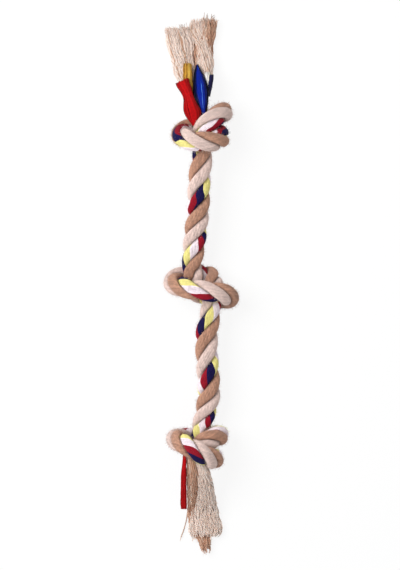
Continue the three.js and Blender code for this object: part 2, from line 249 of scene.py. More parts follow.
# How the strands lie: so many lays past a knot's ring or a span's middle, this strand is uppermost. The
# last number says how far the lay is drawn out since the place before.
strand_order = {"tan": 0, "multicolour": 1, "natural": 2}
third = 2 * math.pi / 3
uppermost = [
    (knot_ring(0), -0.925, "natural", 1.17), (knot_ring(0), 1.575, "natural", 1.17),
    (span_middle(0), -1.075, "tan", 1.17), (span_middle(0), 0.115, "tan", 1.17),
    (span_middle(0), 1.21, "tan", 1.0), (knot_ring(1), -0.06, "multicolour", 1.17),
    (span_middle(1), -0.63, "tan", 1.17), (span_middle(1), 0.53, "tan", 1.17),
    (knot_ring(2), -0.75, "multicolour", 1.17)]
lay_stations = []
for start, past, strand, drawn_out in uppermost:
    length = start + past * lay_length
    turn = facing_up(length) - strand_order[strand] * third
    if lay_stations:
        wanted = lay_stations[-1][1] + (length - lay_stations[-1][0]) * 2 * math.pi / (lay_length * drawn_out)
        turn += round((wanted - turn) / (2 * math.pi)) * 2 * math.pi
    lay_stations.append((length, turn))

# In each strand the yarns turn the other way, so that on the outside they run along the rope. For the dyed
# strand these are counts of turns of its upper side, so many metres past a knot's ring or a span's middle.
# Each turn passes navy, red, white and yellow.
yarn_turn = 2.3
dyed_upward = [
    (knot_ring(0), [
        (-0.110, -8.1), (-0.0896, -6.66), (-0.0776, -6.60), (-0.0656, -6.62), (-0.0446, -5.35),
        (-0.0376, -5.18), (-0.0316, -5.05), (-0.0256, -4.80), (-0.0156, -4.69), (0.0064, -4.2),
        (0.0644, -1.76), (0.0754, -1.62), (0.0854, -1.46), (0.0944, -1.44), (0.102, -1.08), (0.110, -0.98),
        (0.122, -0.94), (0.137, -0.24), (0.151, 0.0), (0.163, 0.30), (0.176, 0.43)]),
    (span_middle(0), [(0.0326, 1.5)]),
    (knot_ring(1), [
        (-0.0027, 4.62), (0.072, 6.55), (0.092, 6.75), (0.112, 7.53), (0.126, 7.88), (0.142, 8.20)]),
    (span_middle(1), [(0.0024, 9.125), (0.016, 9.38), (0.0530, 10.46)]),
    (knot_ring(2), [
        (-0.052, 12.06), (-0.0345, 12.42), (0.021, 14.62), (0.060, 15.30), (0.070, 15.60), (0.088, 15.40),
        (0.108, 16.1)])]
dyed_stations = []
for start, counts in dyed_upward:
    for past, count in counts:
        length = start + past
        turn = smooth_track(lay_stations, np.array([length]))[0]
        dyed_stations.append((length, facing_up(length) - turn - third - 2 * math.pi * count))


def open_tree(name, inputs):
    tree = bpy.data.node_groups.new(name, "GeometryNodeTree")
    for label, kind in inputs.items():
        tree.interface.new_socket(label, in_out="INPUT", socket_type=f"NodeSocket{kind}")
    tree.interface.new_socket("Geometry", in_out="OUTPUT", socket_type="NodeSocketGeometry")
    return tree, add_node(tree, "NodeGroupInput").outputs


# Loose fibres stand off the yarns, so that they have no hard edge. They are drawn thicker and fewer than
# real ones, or they would not show.
fibre_half_thick = 0.00006
shortest_fibre = 0.0012


def add_fibres(tree, curves, lean, longest, on_floor, chosen=True):
    roots = add_node(tree, "GeometryNodeCurveToPoints", {"Curve": curves}, mode="EVALUATED")
    aim = add_node(tree, "FunctionNodeAlignRotationToVector", {"Vector": lean}, axis="Z")
    fibre_long = add_node(tree, "FunctionNodeRandomValue", {"Min": shortest_fibre, "Max": longest, "Seed": 6},
                          data_type="FLOAT")
    fibre = add_node(tree, "GeometryNodeCurvePrimitiveLine", {"Start": (0, 0, 0), "End": (0, 0, 1)})
    strewn = add_node(tree, "GeometryNodeInstanceOnPoints", {
        "Points": roots, "Selection": chosen, "Instance": fibre, "Rotation": aim, "Scale": fibre_long})
    fibres = add_node(tree, "GeometryNodeRealizeInstances", {"Geometry": strewn})
    fibres_up = add_node(tree, "GeometryNodeSetPosition", {"Geometry": fibres, "Position": on_floor})
    ring = add_node(tree, "GeometryNodeCurvePrimitiveCircle", {"Resolution": 3, "Radius": 1.0})
    return add_node(tree, "GeometryNodeCurveToMesh", {
        "Curve": fibres_up, "Profile Curve": ring, "Scale": fibre_half_thick, "Fill Caps": True})


def close_tree(tree, tubes, fibres, material):
    furry = add_node(tree, "GeometryNodeJoinGeometry", {"Geometry": tubes})
    tree.links.new(fibres.outputs[0], furry.inputs["Geometry"])
    smooth = add_node(tree, "GeometryNodeSetShadeSmooth", {"Geometry": furry, "Shade Smooth": True})
    real = add_node(tree, "GeometryNodeRealizeInstances", {"Geometry": smooth})
    dyed = add_node(tree, "GeometryNodeSetMaterial", {"Geometry": real, "Material": material})
    add_node(tree, "NodeGroupOutput", {"Geometry": dyed})


# Yarns laid side by side round a strand: each is a soft tube that winds about the strand's own line
laid_yarns, sizes = open_tree("laid_yarns", {
    "Geometry": "Geometry", "Yarn Count": "Int", "Yarn Thickness": "Float", "Unevenness": "Float",
    "Material": "Material"})
tree = laid_yarns
line = add_node(tree, "GeometryNodeMeshToCurve", {"Mesh": sizes["Geometry"]})
copies = add_node(tree, "GeometryNodeDuplicateElements",
                  {"Geometry": line, "Amount": sizes["Yarn Count"]}, domain="SPLINE")
number = copies.outputs["Duplicate Index"]
half_step = add_node(tree, "ShaderNodeMath", {0: number, 1: 0.5}, operation="ADD")
yarn_share = add_node(tree, "ShaderNodeMath", {0: half_step, 1: sizes["Yarn Count"]}, operation="DIVIDE")
marked = add_node(tree, "GeometryNodeStoreNamedAttribute",
                  {"Geometry": copies, "Name": "yarn", "Value": yarn_share},
                  data_type="FLOAT", domain="CURVE")
spin = add_node(tree, "GeometryNodeInputNamedAttribute", {"Name": "spin"}, data_type="FLOAT")
outward = add_node(tree, "GeometryNodeInputNamedAttribute", {"Name": "outward"}, data_type="FLOAT_VECTOR")
sideways = add_node(tree, "GeometryNodeInputNamedAttribute", {"Name": "sideways"},
                    data_type="FLOAT_VECTOR")
angle = add_node(tree, "ShaderNodeMath", {0: yarn_share, 1: 2 * math.pi, 2: spin},
                 operation="MULTIPLY_ADD")
cosine = add_node(tree, "ShaderNodeMath", {0: angle}, operation="COSINE")
sine = add_node(tree, "ShaderNodeMath", {0: angle}, operation="SINE")
out_part = add_node(tree, "ShaderNodeVectorMath", {"Vector": outward, "Scale": cosine}, operation="SCALE")
side_part = add_node(tree, "ShaderNodeVectorMath", {"Vector": sideways, "Scale": sine}, operation="SCALE")
round_strand = add_node(tree, "ShaderNodeVectorMath", {0: out_part, 1: side_part}, operation="ADD")

# The yarns are lumpy, with a lump about every 9 mm, and those that would sink into the floor lie flat on it
lumps_per_metre = 110.0
floor_gap, floor_softness = 0.0009, 0.001
where = add_node(tree, "GeometryNodeInputPosition")
lumps = add_node(tree, "ShaderNodeTexNoise",
                 {"Vector": where, "W": number, "Scale": lumps_per_metre, "Detail": 1.0},
                 noise_dimensions="4D")
lump = add_node(tree, "ShaderNodeMapRange", {
    "Value": lumps, "From Min": 0.25, "From Max": 0.75, "To Min": 1.0, "To Max": sizes["Unevenness"]})
uneven = add_node(tree, "ShaderNodeVectorMath", {"Vector": round_strand, "Scale": lump}, operation="SCALE")
wound = add_node(tree, "GeometryNodeSetPosition", {"Geometry": marked, "Offset": uneven})
above = add_node(tree, "ShaderNodeSeparateXYZ", {0: where}).outputs
pressed = add_node(tree, "ShaderNodeMath", {0: above[2], 1: floor_gap, 2: floor_softness},
                   operation="SMOOTH_MAX")
on_floor = add_node(tree, "ShaderNodeCombineXYZ", {0: above[0], 1: above[1], 2: pressed})
laid = add_node(tree, "GeometryNodeSetPosition", {"Geometry": wound, "Position": on_floor})
half_thick = add_node(tree, "ShaderNodeMath", {0: sizes["Yarn Thickness"], 1: 0.5}, operation="MULTIPLY")
ring = add_node(tree, "GeometryNodeCurvePrimitiveCircle", {"Resolution": 7, "Radius": 1.0})
ring_side = add_node(tree, "GeometryNodeStoreNamedAttribute",
                     {"Geometry": ring, "Name": "round", "Value": where},
                     data_type="FLOAT_VECTOR", domain="POINT")
plump = add_node(tree, "GeometryNodeInputNamedAttribute", {"Name": "plump"}, data_type="FLOAT")
girth = add_node(tree, "ShaderNodeMath", {0: half_thick, 1: plump}, operation="MULTIPLY")
tubes = add_node(tree, "GeometryNodeCurveToMesh",
                 {"Curve": laid, "Profile Curve": ring_side, "Scale": girth, "Fill Caps": True})

# On the rope every point of a yarn has a fibre, which leans away from the strand
longest_fibre = 0.0036
radial = add_node(tree, "ShaderNodeVectorMath", {0: round_strand}, operation="NORMALIZE")
facing = add_node(tree, "GeometryNodeStoreNamedAttribute",
                  {"Geometry": laid, "Name": "away", "Value": radial},
                  data_type="FLOAT_VECTOR", domain="POINT")
away = add_node(tree, "GeometryNodeInputNamedAttribute", {"Name": "away"}, data_type="FLOAT_VECTOR")
tangle = add_node(tree, "FunctionNodeRandomValue",
                  {"Min": (-0.9, -0.9, -0.9), "Max": (0.9, 0.9, 0.9), "Seed": 5}, data_type="FLOAT_VECTOR")
lean = add_node(tree, "ShaderNodeVectorMath", {0: away, 1: tangle}, operation="ADD")
fibres = add_fibres(tree, facing, lean, longest_fibre, on_floor)
close_tree(tree, tubes, fibres, sizes["Material"])


def make_yarns(name, points, fields, tree, values):
    mesh = bpy.data.meshes.new(name)
    mesh.from_pydata([tuple(p) for p in points], [(i, i + 1) for i in range(len(points) - 1)], [])
    for field, numbers in fields.items():
        numbers = np.asarray(numbers, dtype=np.float32)
        kind, key = ("FLOAT", "value") if numbers.ndim == 1 else ("FLOAT_VECTOR", "vector")
        mesh.attributes.new(field, kind, "POINT").data.foreach_set(key, numbers.ravel())
    piece = bpy.data.objects.new(name, mesh)
    scene.collection.objects.link(piece)
    modifier = piece.modifiers.new("yarns", "NODES")
    modifier.node_group = tree
    for socket in tree.interface.items_tree:
        if socket.in_out == "INPUT" and socket.name in values:
            modifier[socket.identifier] = values[socket.name]
    depsgraph = bpy.context.evaluated_depsgraph_get()
    made = bpy.data.meshes.new_from_object(piece.evaluated_get(depsgraph), preserve_all_data_layers=True,
                                           depsgraph=depsgraph)
    piece.modifiers.remove(modifier)
    piece.data = made
    made.name = name
    for field in fields:
        if field in made.attributes and field != "reach":
            made.attributes.remove(made.attributes[field])
    return piece


# Spun cotton: to the eye dull and slightly furry, with fine fibres that wind round each yarn and shade it
# unevenly. The grooves between the yarns and strands are darkened with painted shade. The fibres are drawn
# some three times coarser than they are, or they would not show. They turn once in 7 mm, the blotches are
# about 2 mm across, and the shade of a yarn is its own.
fibre_turn = 0.007
fibres_drawn_out = 160.0
yarns_apart = 211.0
blotches_per_metre = 520.0
groove_reach = 0.003
fibre_relief = 0.0005


def spun_cotton(name, dyes, shade_spread, groove_shade=0.7, roughness=0.92, gloss=0.2, fur=0.2, glow=0.0):
    material = bpy.data.materials.new(name)
    material.use_nodes = True
    tree = material.node_tree
    shader = tree.nodes["Principled BSDF"].inputs
    for socket, value in (
            ("Roughness", roughness), ("Specular IOR Level", gloss), ("Sheen Weight", fur),
            ("Sheen Roughness", 0.5), ("Subsurface Weight", glow), ("Subsurface Radius", (1.0, 0.8, 0.7)),
            ("Subsurface Scale", 0.0012)):
        shader[socket].default_value = value
    yarn = add_node(tree, "ShaderNodeAttribute", attribute_name="yarn").outputs["Fac"]
    ramp = add_node(tree, "ShaderNodeValToRGB", {"Fac": yarn})
    ramp.color_ramp.interpolation = "CONSTANT"
    for k, (position, colour) in enumerate(dyes):
        element = ramp.color_ramp.elements[k] if k < 2 else ramp.color_ramp.elements.new(position)
        element.position = position
        element.color = linear(colour)
    if len(dyes) == 1:
        ramp.color_ramp.elements.remove(ramp.color_ramp.elements[1])

    side = add_node(tree, "ShaderNodeAttribute", attribute_name="round").outputs["Vector"]
    along = add_node(tree, "ShaderNodeAttribute", attribute_name="reach").outputs["Fac"]
    wind = add_node(tree, "ShaderNodeMath", {0: along, 1: 2 * math.pi / fibre_turn}, operation="MULTIPLY")
    wound_side = add_node(tree, "ShaderNodeVectorRotate", {"Vector": side, "Angle": wind},
                          rotation_type="Z_AXIS")
    lift = add_node(tree, "ShaderNodeMath", {0: along, 1: fibres_drawn_out}, operation="MULTIPLY")
    own = add_node(tree, "ShaderNodeMath", {0: yarn, 1: yarns_apart, 2: lift}, operation="MULTIPLY_ADD")
    apart = add_node(tree, "ShaderNodeCombineXYZ", {2: own})
    place = add_node(tree, "ShaderNodeVectorMath", {0: wound_side, 1: apart}, operation="ADD")
    fibres = add_node(tree, "ShaderNodeTexNoise",
                      {"Vector": place, "Scale": 2.6, "Detail": 3.0, "Roughness": 0.6})
    yarn_tone = add_node(tree, "ShaderNodeTexWhiteNoise", {"W": yarn}, noise_dimensions="1D")
    fibre_tone = add_node(tree, "ShaderNodeMath", {0: yarn_tone, 1: 0.7, 2: fibres}, operation="MULTIPLY_ADD")
    spot = add_node(tree, "ShaderNodeTexCoord").outputs["Object"]
    blotches = add_node(tree, "ShaderNodeTexNoise",
                        {"Vector": spot, "Scale": blotches_per_metre, "Detail": 2.0})
    tone = add_node(tree, "ShaderNodeMath", {0: blotches, 1: 1.5, 2: fibre_tone}, operation="MULTIPLY_ADD")
    value = add_node(tree, "ShaderNodeMapRange", {
        "Value": tone, "From Min": 1.0, "From Max": 2.2, "To Min": 1 - shade_spread,
        "To Max": 1 + shade_spread})

    tip = add_node(tree, "ShaderNodeAttribute", attribute_name="tip").outputs["Fac"]
    soiled = add_node(tree, "ShaderNodeMapRange", {
        "Value": tip, "From Min": 0.95, "From Max": 0.985, "To Min": 1.0, "To Max": 0.4})
    darker = add_node(tree, "ShaderNodeMath", {0: value, 1: soiled}, operation="MULTIPLY")
    # Painted shade: the colour is darkened in grooves and where yarns and strands touch, by how closed in
    # each point is
    crevice = add_node(tree, "ShaderNodeAmbientOcclusion", {"Distance": groove_reach}, samples=6)
    grooved = add_node(tree, "ShaderNodeMapRange", {
        "Value": crevice.outputs["AO"], "From Min": 0.35, "From Max": 0.9, "To Min": groove_shade, "To Max": 1.0})
    painted_groove_shade = add_node(tree, "ShaderNodeMath", {0: darker, 1: grooved}, operation="MULTIPLY")
    shaded = add_node(tree, "ShaderNodeHueSaturation", {"Color": ramp, "Value": painted_groove_shade})
    tree.links.new(shaded.outputs["Color"], shader["Base Color"])
    relief = add_node(tree, "ShaderNodeBump", {"Height": fibres, "Strength": 0.7, "Distance": fibre_relief})
    tree.links.new(relief.outputs["Normal"], shader["Normal"])
    return material


strand_cotton = {
    "tan": spun_cotton("tan_spun_cotton", [(0.0, "#be9078")], 0.34, groove_shade=0.5),
    "natural": spun_cotton("undyed_spun_cotton", [(0.0, "#e6cdc4")], 0.22, groove_shade=0.5),
    "multicolour": spun_cotton("dyed_spun_cotton", [
        (0.0, "#150c48"), (0.25, "#a01028"), (0.5, "#f6e8ee"), (0.75, "#ece290")], 0.2, fur=0.05)}

# A strand is an oval that fills its third of the rope. In the knots the rope swells halfway back from
# the tight rope of the knot's path to its free thickness.
strand_flatness = 1.3
strand_overlap = 1.03
knot_swell = 0.5
yarn_thick = 0.00145
yarns_in_strand = 23
yarn_step = 0.0021
end_trim = 0.006

# A hinge place this far outside a knot, with 10 mm either side of it, is worked out for each stretch that
# joins a knot to a span; nothing bends about it here
hinge_from_knot = 0.0079
bend_half = 0.010

stretches = [
    ("top_knot_first", end_trim, knot_ring(0), ("top_knot",), ("top_knot",)),
    ("top_knot_second", knot_ring(0), span_middle(0), ("top_knot", "upper_span"),
     ("upper_span_upper_bend", "upper_span")),
    ("middle_knot_first", span_middle(0), knot_ring(1), ("upper_span", "middle_knot"),
     ("upper_span_lower_bend", "middle_knot")),
    ("middle_knot_second", knot_ring(1), span_middle(1), ("middle_knot", "lower_span"),
     ("lower_span_upper_bend", "lower_span")),
    ("bottom_knot_first", span_middle(1), knot_ring(2), ("lower_span", "bottom_knot"),
     ("lower_span_lower_bend",)),
    ("bottom_knot_second", knot_ring(2), reach[-1] - end_trim, ("bottom_knot",), ("bottom_knot",))]

for stretch, start, end, bodies, stands_for in stretches:
    lengths = np.linspace(start, end, round((end - start) / yarn_step) + 1)
    at, tangent, normal, binormal = rope_frame(lengths)
    radius = np.interp(lengths, reach, rope_thick)
    radius = radius + knot_swell * (rope_radius - radius)
    turn = smooth_track(lay_stations, lengths)
    reach_in = math.hypot(math.sin(third / 2), strand_flatness * math.cos(third / 2))
    depth = radius * math.sin(third / 2) / (reach_in + math.sin(third / 2)) * strand_overlap
    for strand, order in strand_order.items():
        angles = (turn + order * third)[:, None]
        out = normal * np.cos(angles) + binormal * np.sin(angles)
        around = binormal * np.cos(angles) - normal * np.sin(angles)
        centre = at + out * (radius - depth)[:, None]
        strand_spin = smooth_track(dyed_stations, lengths) if strand == "multicolour" else -yarn_turn * turn
        fields = {
            "outward": out * (depth - yarn_thick / 2)[:, None],
            "sideways": around * (depth * strand_flatness - yarn_thick / 2)[:, None],
            "spin": strand_spin, "plump": radius / rope_radius, "reach": lengths}
        piece = make_yarns(f"{stretch}_{strand}_yarns", centre, fields, laid_yarns, {
            "Yarn Count": yarns_in_strand, "Yarn Thickness": yarn_thick, "Unevenness": 0.95,
            "Material": strand_cotton[strand]})
        if len(bodies) == 1:
            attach(piece, bodies[0])
        else:
            knot_at = [k["name"] for k in knots].index(next(b for b in bodies if b.endswith("knot")))
            if bodies[0].endswith("knot"):
                hinge = knot_end(knot_at) + hinge_from_knot
            else:
                hinge = knot_start(knot_at) - hinge_from_knot
            ends = rope_frame(np.array([hinge - bend_half, hinge + bend_half]))[0]
            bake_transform(piece)
        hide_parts(*[f"{node}_{strand}" for node in stands_for])
        run = np.linalg.norm(np.diff(centre, axis=0), axis=1).sum()


# Tassels
# Past each end knot the strands are let out into loose yarn, which falls from the knot to the floor. The
# yarn lies in thin locks that keep some of the strand's turn and its waves, and its cut ends are uneven.

loose_yarns, sizes = open_tree("loose_yarns", {
    "Geometry": "Geometry", "Yarn Count": "Int", "Yarns In Lock": "Int", "Yarn Thickness": "Float",
    "Wave Height": "Float", "Wave Length": "Float", "Ragged End": "Float", "Stray End": "Float",
    "Slant": "Float", "Shades In Order": "Float", "Fibre Length": "Float", "Seed": "Int",
    "Material": "Material"})
tree = loose_yarns
line = add_node(tree, "GeometryNodeMeshToCurve", {"Mesh": sizes["Geometry"]})
copies = add_node(tree, "GeometryNodeDuplicateElements",
                  {"Geometry": line, "Amount": sizes["Yarn Count"]}, domain="SPLINE")
number = copies.outputs["Duplicate Index"]
in_locks = add_node(tree, "ShaderNodeMath", {0: number, 1: sizes["Yarns In Lock"]}, operation="DIVIDE")
lock = add_node(tree, "ShaderNodeMath", {0: in_locks}, operation="FLOOR")
lots = add_node(tree, "FunctionNodeRandomValue", {"ID": number, "Seed": sizes["Seed"]},
                data_type="FLOAT_VECTOR")
lot = add_node(tree, "ShaderNodeSeparateXYZ", {0: lots}).outputs
other_seed = add_node(tree, "ShaderNodeMath", {0: sizes["Seed"], 1: 17.0}, operation="ADD")
other_lots = add_node(tree, "FunctionNodeRandomValue", {"ID": number, "Seed": other_seed},
                      data_type="FLOAT_VECTOR")
other_lot = add_node(tree, "ShaderNodeSeparateXYZ", {0: other_lots}).outputs
lock_lot = add_node(tree, "FunctionNodeRandomValue",
                    {"Min": 0.0, "Max": 0.97, "ID": lock, "Seed": sizes["Seed"]}, data_type="FLOAT")

# Each yarn has its place round an oval section, most of them near its outside, and turns along the bundle
place = add_node(tree, "ShaderNodeMath", {0: number, 1: lot[0]}, operation="ADD")
turn_share = add_node(tree, "ShaderNodeMath", {0: place, 1: sizes["Yarn Count"]}, operation="DIVIDE")
turned = add_node(tree, "GeometryNodeInputNamedAttribute", {"Name": "turned"}, data_type="FLOAT")
angle = add_node(tree, "ShaderNodeMath", {0: turn_share, 1: 2 * math.pi, 2: turned},
                 operation="MULTIPLY_ADD")
outness = add_node(tree, "ShaderNodeMath", {0: lot[1], 1: 0.3}, operation="POWER")
cosine = add_node(tree, "ShaderNodeMath", {0: angle}, operation="COSINE")
sine = add_node(tree, "ShaderNodeMath", {0: angle}, operation="SINE")
across = add_node(tree, "ShaderNodeMath", {0: cosine, 1: outness}, operation="MULTIPLY")
height = add_node(tree, "ShaderNodeMath", {0: sine, 1: outness}, operation="MULTIPLY")
sideways = add_node(tree, "GeometryNodeInputNamedAttribute", {"Name": "sideways"},
                    data_type="FLOAT_VECTOR")
upward = add_node(tree, "GeometryNodeInputNamedAttribute", {"Name": "upward"}, data_type="FLOAT_VECTOR")
side_part = add_node(tree, "ShaderNodeVectorMath", {"Vector": sideways, "Scale": across},
                     operation="SCALE")
up_part = add_node(tree, "ShaderNodeVectorMath", {"Vector": upward, "Scale": height}, operation="SCALE")
spread = add_node(tree, "ShaderNodeVectorMath", {0: side_part, 1: up_part}, operation="ADD")

# A lock waves as one, and each yarn in it curls a little by itself
where = add_node(tree, "GeometryNodeInputPosition")
tight_wave = add_node(tree, "ShaderNodeMath", {0: 1.0, 1: sizes["Wave Length"]}, operation="DIVIDE")
tight_curl = add_node(tree, "ShaderNodeMath", {0: 2.1, 1: sizes["Wave Length"]}, operation="DIVIDE")
lock_wave = add_node(tree, "ShaderNodeMath", {0: lock, 1: 3.7}, operation="MULTIPLY")
own_curl = add_node(tree, "ShaderNodeMath", {0: number, 1: 1.9}, operation="MULTIPLY")
waves = add_node(tree, "ShaderNodeTexNoise",
                 {"Vector": where, "W": lock_wave, "Scale": tight_wave, "Detail": 0.0}, noise_dimensions="4D")
curls = add_node(tree, "ShaderNodeTexNoise",
                 {"Vector": where, "W": own_curl, "Scale": tight_curl, "Detail": 0.0}, noise_dimensions="4D")
together = add_node(tree, "ShaderNodeVectorMath",
                    {0: curls.outputs["Color"], 1: (1.3, 1.3, 1.3), 2: waves.outputs["Color"]},
                    operation="MULTIPLY_ADD")
centred = add_node(tree, "ShaderNodeVectorMath", {0: together, 1: (1.15, 1.15, 1.15)},
                   operation="SUBTRACT")
freed = add_node(tree, "GeometryNodeInputNamedAttribute", {"Name": "freed"}, data_type="FLOAT")
swing = add_node(tree, "ShaderNodeMath", {0: sizes["Wave Height"], 1: freed}, operation="MULTIPLY")
wavy = add_node(tree, "ShaderNodeVectorMath", {"Vector": centred, "Scale": swing}, operation="SCALE")
offset = add_node(tree, "ShaderNodeVectorMath", {0: spread, 1: wavy}, operation="ADD")
spread_out = add_node(tree, "GeometryNodeSetPosition", {"Geometry": copies, "Offset": offset})
above = add_node(tree, "ShaderNodeSeparateXYZ", {0: where}).outputs
half_thick = add_node(tree, "ShaderNodeMath", {0: sizes["Yarn Thickness"], 1: 0.5}, operation="MULTIPLY")
pressed = add_node(tree, "ShaderNodeMath", {0: above[2], 1: half_thick}, operation="MAXIMUM")
on_floor = add_node(tree, "ShaderNodeCombineXYZ", {0: above[0], 1: above[1], 2: pressed})
fallen = add_node(tree, "GeometryNodeSetPosition", {"Geometry": spread_out, "Position": on_floor})

# Yarns are cut to uneven lengths, and about one lock in twelve strays out past the others and has dark tips
stray_lot = add_node(tree, "FunctionNodeRandomValue", {"ID": lock, "Seed": other_seed}, data_type="FLOAT")
combed = add_node(tree, "ShaderNodeMath", {0: stray_lot, 1: 0.92}, operation="LESS_THAN")
stray = add_node(tree, "ShaderNodeMath", {0: 1.0, 1: combed}, operation="SUBTRACT")
slanted = add_node(tree, "ShaderNodeMapRange", {
    "Value": across, "From Min": -1.0, "From Max": 1.0, "To Min": sizes["Slant"], "To Max": 0.0})
uneven = add_node(tree, "ShaderNodeMath", {0: lot[2], 1: sizes["Ragged End"], 2: slanted},
                  operation="MULTIPLY_ADD")
lost = add_node(tree, "ShaderNodeMath", {0: combed, 1: sizes["Stray End"], 2: uneven},
                operation="MULTIPLY_ADD")
kept = add_node(tree, "ShaderNodeMath", {0: 1.0, 1: lost}, operation="SUBTRACT")
cut = add_node(tree, "GeometryNodeTrimCurve", {"Curve": fallen, "Start": 0.0, "End": kept}, mode="FACTOR")

# A yarn takes its shade from its lock, or from its place across the bundle where the shades lie in order.
# The coloured tails use that order to paint shade at their sides, and the blue and gold tails a highlight too
shade_lot = add_node(tree, "ShaderNodeMath", {0: other_lot[1], 1: 0.03, 2: lock_lot},
                     operation="MULTIPLY_ADD")
in_order = add_node(tree, "ShaderNodeMapRange", {
    "Value": across, "From Min": -1.0, "From Max": 1.0, "To Min": 0.0, "To Max": 0.94})
order_lot = add_node(tree, "ShaderNodeMath", {0: other_lot[1], 1: 0.06, 2: in_order},
                     operation="MULTIPLY_ADD")
shade = add_node(tree, "ShaderNodeMix",
                 {"Factor": sizes["Shades In Order"], "A": shade_lot, "B": order_lot}, data_type="FLOAT")
marked = add_node(tree, "GeometryNodeStoreNamedAttribute",
                  {"Geometry": cut, "Name": "yarn", "Value": shade}, data_type="FLOAT", domain="CURVE")
run = add_node(tree, "GeometryNodeSplineParameter").outputs["Factor"]
ends = add_node(tree, "GeometryNodeInputNamedAttribute", {"Name": "ends"}, data_type="FLOAT")
to_tip = add_node(tree, "ShaderNodeMath", {0: run, 1: ends}, operation="MULTIPLY")
dark_tip = add_node(tree, "ShaderNodeMath", {0: to_tip, 1: stray}, operation="MULTIPLY")
tipped = add_node(tree, "GeometryNodeStoreNamedAttribute",
                  {"Geometry": marked, "Name": "tip", "Value": dark_tip}, data_type="FLOAT", domain="POINT")
taper = add_node(tree, "ShaderNodeMapRange", {
    "Value": to_tip, "From Min": 0.9, "From Max": 1.0, "To Min": 1.0, "To Max": 0.4})
girth_lot = add_node(tree, "ShaderNodeMapRange", {"Value": other_lot[2], "To Min": 0.6, "To Max": 1.1})
own_half = add_node(tree, "ShaderNodeMath", {0: half_thick, 1: girth_lot}, operation="MULTIPLY")
girth = add_node(tree, "ShaderNodeMath", {0: own_half, 1: taper}, operation="MULTIPLY")
ring = add_node(tree, "GeometryNodeCurvePrimitiveCircle", {"Resolution": 4, "Radius": 1.0})
ring_side = add_node(tree, "GeometryNodeStoreNamedAttribute",
                     {"Geometry": ring, "Name": "round", "Value": where},
                     data_type="FLOAT_VECTOR", domain="POINT")
tubes = add_node(tree, "GeometryNodeCurveToMesh",
                 {"Curve": tipped, "Profile Curve": ring_side, "Scale": girth, "Fill Caps": True})

# One point in eight along these yarns has a fibre, which stands off in any direction
tangle = add_node(tree, "FunctionNodeRandomValue",
                  {"Min": (-1.0, -1.0, -1.0), "Max": (1.0, 1.0, 1.0), "Seed": 5}, data_type="FLOAT_VECTOR")
some = add_node(tree, "FunctionNodeRandomValue", {"Probability": 0.12, "Seed": 7}, data_type="BOOLEAN")
fibres = add_fibres(tree, marked, tangle, sizes["Fibre Length"], on_floor, some)
close_tree(tree, tubes, fibres, sizes["Material"])

# Where each tassel leaves its knot: its direction along Y, its middle, and its top and bottom there
top_root = {"way": 1, "y": 0.16313, "x": 0.00393, "top": 0.03309, "bottom": 0.01609}
bottom_root = {"way": -1, "y": -0.16483, "x": -0.00522, "top": 0.05079, "bottom": 0.03379}
tassel_thick = 0.013
tassel_fall = 0.064
loose_step = 0.0022
freed_after = 0.012
corner_blur = 0.003
least_half = 0.0002
twist_length = 0.1
wave_length = 0.012


def tassel_faces(root, away):
    up = (1 + np.cos(math.pi * np.clip(away / tassel_fall, 0, 1))) / 2
    return root["bottom"] * up, tassel_thick + (root["top"] - tassel_thick) * up


def rows_at(rows, away):
    steps = np.linspace(-corner_blur, corner_blur, 5)
    return [np.mean([np.interp(away + step, *np.array(rows)[:, [0, k]].T) for step in steps], axis=0)
            for k in range(1, len(rows[0]))]


def lay_out(name, root, rows, first, last, faces, yarn, settings, twist=0.0, cut=1.0):
    away = np.linspace(first, last, max(4, round((last - first) / loose_step)))
    left, right = rows_at(rows, away)[:2]
    bottom, top = faces(away)
    points = np.stack(
        [root["x"] + (left + right) / 2, root["y"] + root["way"] * away, (bottom + top) / 2], axis=1)
    half_width = np.maximum((right - left - yarn) / 2, least_half)
    half_height = np.maximum((top - bottom - yarn) / 2, least_half)
    fields = {
        "sideways": half_width[:, None] * np.array([1.0, 0, 0]),
        "upward": half_height[:, None] * np.array([0, 0, 1.0]),
        "turned": 2 * math.pi * twist * root["way"] * away / twist_length,
        "freed": np.clip(away / freed_after, 0, 1),
        "reach": away, "ends": np.full(len(away), cut)}
    return make_yarns(name, points, fields, loose_yarns, {
        "Yarn Thickness": yarn, "Wave Length": wave_length, "Fibre Length": 0.002, **settings})


def millimetres(rows):
    return [tuple(value / 1000 for value in row) for row in rows]


def bundle_faces(root, rows):
    def faces(away):
        bottom, top = tassel_faces(root, away)
        return bottom, top - rows_at(rows, away)[2]
    return faces


# Loose cotton, combed out of the strands: light goes through the thin yarns, so to the eye a tuft is paler
# and softer than the rope, with hardly any dark between its yarns
undyed_loose = spun_cotton("undyed_loose_cotton", [
    (0.0, "#fbe1d3"), (0.45, "#f4d7c7"), (0.95, "#d4aa90")], 0.13, groove_shade=0.95, glow=0.5)
tan_loose = spun_cotton("tan_loose_cotton", [
    (0.0, "#d2a48a"), (0.4, "#ba8a70"), (0.78, "#e6c9b5")], 0.14, groove_shade=0.95, glow=0.4)
loose_thick = 0.0009
loose_habit = {"Yarns In Lock": 6, "Fibre Length": 0.005, "Wave Height": 0.0028}
tucked_in = -0.012

